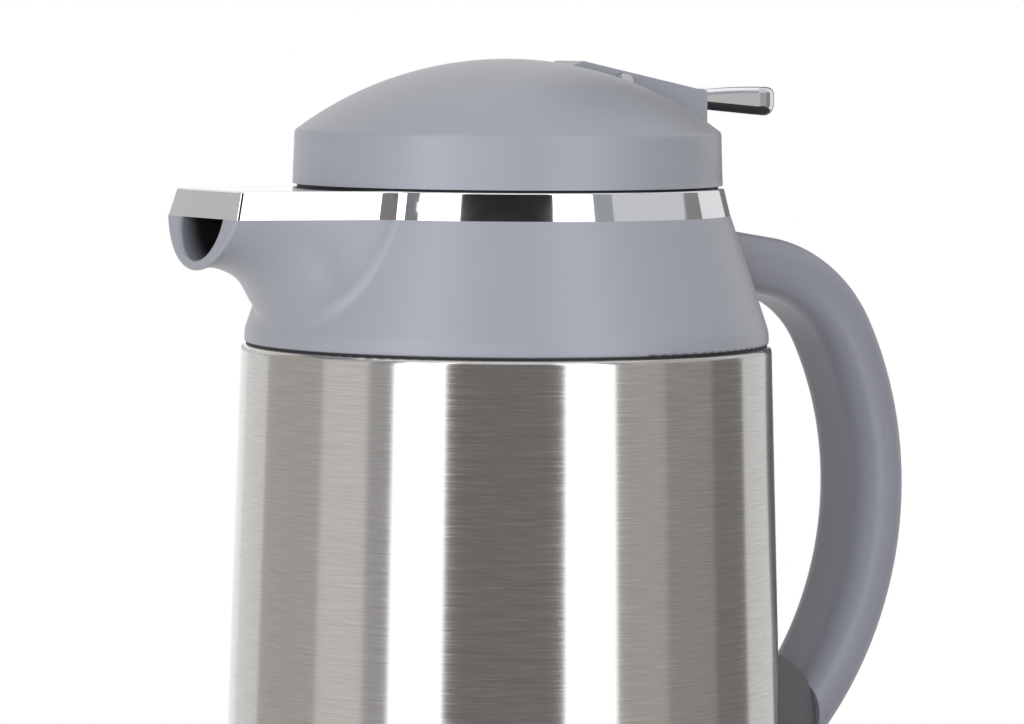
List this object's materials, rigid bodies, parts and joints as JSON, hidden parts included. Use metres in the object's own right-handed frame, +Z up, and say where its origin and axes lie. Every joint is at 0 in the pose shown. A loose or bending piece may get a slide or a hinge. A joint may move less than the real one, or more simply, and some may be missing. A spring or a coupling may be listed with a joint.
{
  "type": "thermal carafe",
  "caption": "Insulated serving jug: glass flask in a tapered steel jacket, moulded shoulder with a plated pouring beak, loop handle and a stopper lid whose thumb lever lifts a pour valve.",
  "frame": {"origin": "on the jug's axis, at the plane it stands on", "axes": "+Z up, -X towards the spout, +X towards the handle, the XZ plane is the mirror plane"},
  "size_m": [0.2171, 0.1508, 0.2412],
  "materials": {
    "brushed_jacket": "stainless sheet with a fine level brush",
    "bright_plate": "bright chrome plate",
    "plain_steel": "plain drawn steel",
    "grey_moulding": "satin grey moulding with a fine grain",
    "dark_moulding": "dark grey moulding",
    "white_moulding": "natural acetal moulding",
    "black_rubber": "black silicone rubber",
    "silvered_glass": "blown glass, silvered between its walls"
  },
  "bodies": {
    "jug": {"base_ring": "dark_moulding", "base_plug": "dark_moulding", "liner_cushion": "black_rubber", "outer_flask": "silvered_glass", "inner_flask": "silvered_glass", "flask_pads": "black_rubber", "neck_gasket": "black_rubber", "outer_shell": "brushed_jacket", "shell_gasket": "black_rubber", "shoulder": "grey_moulding", "pour_collar": "bright_plate", "handle": "grey_moulding", "handle_bracket": "dark_moulding", "handle_screws": "plain_steel"},
    "lid": {"lid_cap": "grey_moulding", "stopper_plug": "dark_moulding", "stopper_seal": "black_rubber", "basin_seal": "black_rubber", "rim_seal": "black_rubber", "lid_screws": "plain_steel", "lever_pin": "bright_plate", "valve_spring": "plain_steel"},
    "lever": {"lever_arm": "grey_moulding", "thumb_plate": "bright_plate"},
    "valve": {"valve_rod": "white_moulding", "valve_disc": "white_moulding", "valve_seal": "black_rubber", "lift_collar": "white_moulding"}
  },
  "joints": [
    {"name": "lid_lift", "type": "slide", "parent": "jug", "child": "lid", "axis": [0, 0, 1], "range_m": [0, 0.07]},
    {"name": "lever_press", "type": "hinge", "parent": "lid", "child": "lever", "pos_m": [0.031, 0, 0.2354], "axis": [0, 1, 0], "range_deg": [0, 8], "stiffness_Nm_per_rad": 1.5, "springref_deg": -8.59},
    {"name": "valve_lift", "type": "slide", "parent": "lid", "child": "valve", "axis": [0, 0, 1], "range_m": [0, 0.00453], "deforming": ["valve_spring"]}
  ],
  "couplings": [
    {"joint": "valve_lift", "follows": "lever_press", "m_per_rad": 0.0324}
  ]
}
